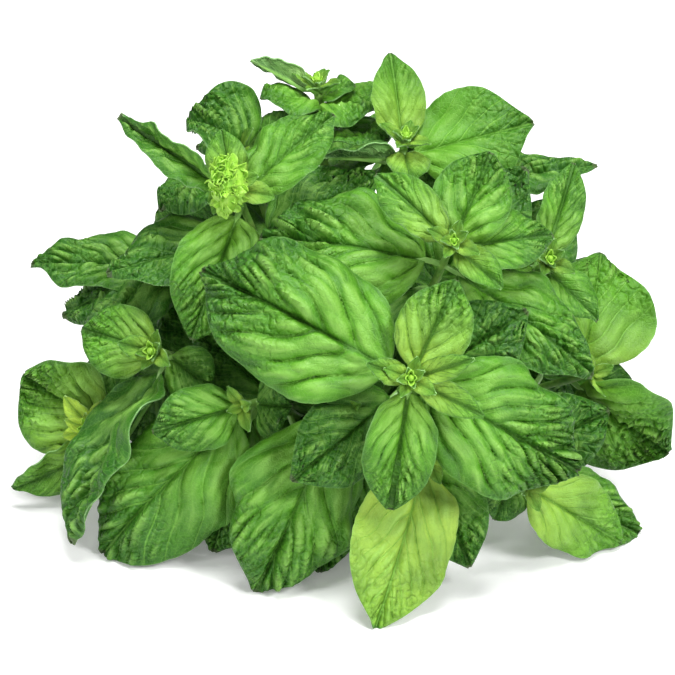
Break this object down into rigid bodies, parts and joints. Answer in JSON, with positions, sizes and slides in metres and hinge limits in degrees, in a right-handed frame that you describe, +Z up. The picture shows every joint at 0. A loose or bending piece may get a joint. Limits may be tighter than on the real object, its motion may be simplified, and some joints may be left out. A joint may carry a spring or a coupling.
{
  "type": "basil bunch",
  "caption": "Loose bunch of cut basil lying down: leafy heads fan out at the front, bare cut stems gather in a bundle behind.",
  "frame": {"origin": "middle of the bunch's bounding box, at table level", "axes": "+Z up from the table, -Y to the leafy heads at the front, +Y along the bundle of cut stems at the back, +X to the right as seen from the front"},
  "size_m": [0.2353, 0.2537, 0.1511],
  "materials": {
    "basil_leaf": "fresh green basil leaf and stem, soft gloss",
    "basil_bud": "yellow-green young bud, matt"
  },
  "bodies": {
    "root": {"stem_front": "basil_leaf", "stem_upper_right": "basil_leaf", "stem_upper_left": "basil_leaf", "stem_low_front": "basil_leaf", "stem_low_middle": "basil_leaf", "stem_low_left": "basil_leaf", "stem_left": "basil_leaf", "stem_far_left": "basil_leaf", "stem_right": "basil_leaf", "stem_far_right": "basil_leaf", "stem_low_right": "basil_leaf", "stem_top_right": "basil_leaf", "stem_top_middle": "basil_leaf", "stem_top_left": "basil_leaf", "stem_behind_left": "basil_leaf", "stem_back_left": "basil_leaf", "stem_back_right": "basil_leaf", "stem_back_top": "basil_leaf", "bud_front": "basil_bud", "bud_upper_right": "basil_bud", "bud_upper_left": "basil_bud", "bud_left": "basil_bud", "bud_far_left": "basil_bud", "bud_right": "basil_bud", "bud_top_right": "basil_bud", "bud_top_middle": "basil_bud", "bud_back_left": "basil_bud", "bud_back_right": "basil_bud", "bud_back_top": "basil_bud"}
  },
  "joints": []
}
